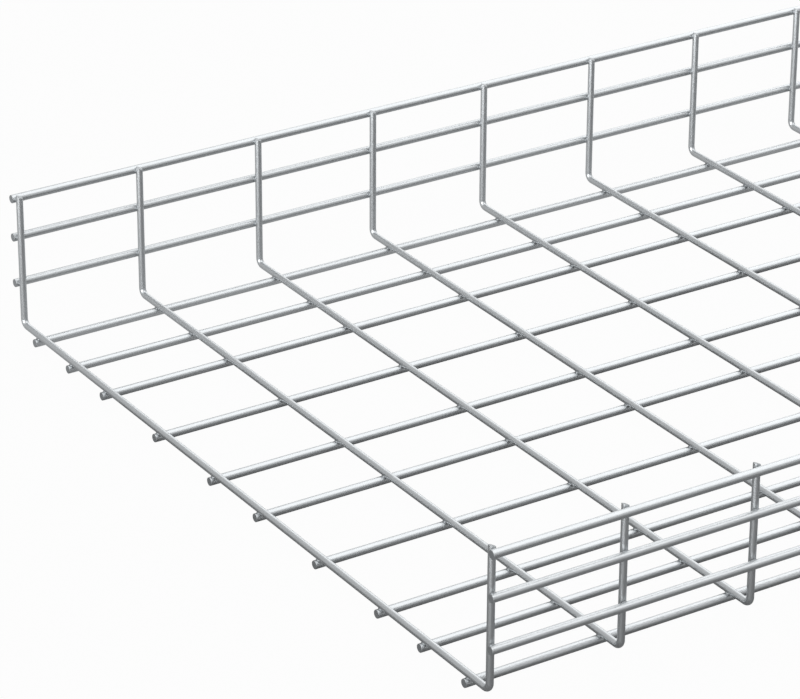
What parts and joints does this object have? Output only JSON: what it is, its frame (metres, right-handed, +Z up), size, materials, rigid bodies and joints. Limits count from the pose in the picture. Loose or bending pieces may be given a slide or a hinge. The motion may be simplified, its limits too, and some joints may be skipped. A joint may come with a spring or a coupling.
{
  "type": "wire mesh cable basket",
  "caption": "Straight length of welded wire cable basket, open at the top: U-bent cross wires inside straight long wires under the floor and along both walls.",
  "frame": {"origin": "middle of the basket's length and width, at the underside of the floor's long wires", "axes": "+X along the basket, +Y across to the left wall, +Z up out of the open top"},
  "size_m": [3.003, 0.6214, 0.1087],
  "materials": {
    "zinc_plated_wire": "drawn steel wire with satin bright zinc plating"
  },
  "bodies": {
    "root": {"cross_wire_01": "zinc_plated_wire", "cross_wire_02": "zinc_plated_wire", "cross_wire_03": "zinc_plated_wire", "cross_wire_04": "zinc_plated_wire", "cross_wire_05": "zinc_plated_wire", "cross_wire_06": "zinc_plated_wire", "cross_wire_07": "zinc_plated_wire", "cross_wire_08": "zinc_plated_wire", "cross_wire_09": "zinc_plated_wire", "cross_wire_10": "zinc_plated_wire", "cross_wire_11": "zinc_plated_wire", "cross_wire_12": "zinc_plated_wire", "cross_wire_13": "zinc_plated_wire", "cross_wire_14": "zinc_plated_wire", "cross_wire_15": "zinc_plated_wire", "cross_wire_16": "zinc_plated_wire", "cross_wire_17": "zinc_plated_wire", "cross_wire_18": "zinc_plated_wire", "cross_wire_19": "zinc_plated_wire", "cross_wire_20": "zinc_plated_wire", "cross_wire_21": "zinc_plated_wire", "cross_wire_22": "zinc_plated_wire", "cross_wire_23": "zinc_plated_wire", "cross_wire_24": "zinc_plated_wire", "cross_wire_25": "zinc_plated_wire", "cross_wire_26": "zinc_plated_wire", "cross_wire_27": "zinc_plated_wire", "cross_wire_28": "zinc_plated_wire", "cross_wire_29": "zinc_plated_wire", "cross_wire_30": "zinc_plated_wire", "cross_wire_31": "zinc_plated_wire", "floor_wire_01": "zinc_plated_wire", "floor_wire_02": "zinc_plated_wire", "floor_wire_03": "zinc_plated_wire", "floor_wire_04": "zinc_plated_wire", "floor_wire_05": "zinc_plated_wire", "floor_wire_06": "zinc_plated_wire", "floor_wire_07": "zinc_plated_wire", "floor_wire_08": "zinc_plated_wire", "floor_wire_09": "zinc_plated_wire", "floor_wire_10": "zinc_plated_wire", "right_wall_wire_low": "zinc_plated_wire", "right_wall_wire_middle": "zinc_plated_wire", "right_wall_wire_top": "zinc_plated_wire", "left_wall_wire_low": "zinc_plated_wire", "left_wall_wire_middle": "zinc_plated_wire", "left_wall_wire_top": "zinc_plated_wire"}
  },
  "joints": []
}
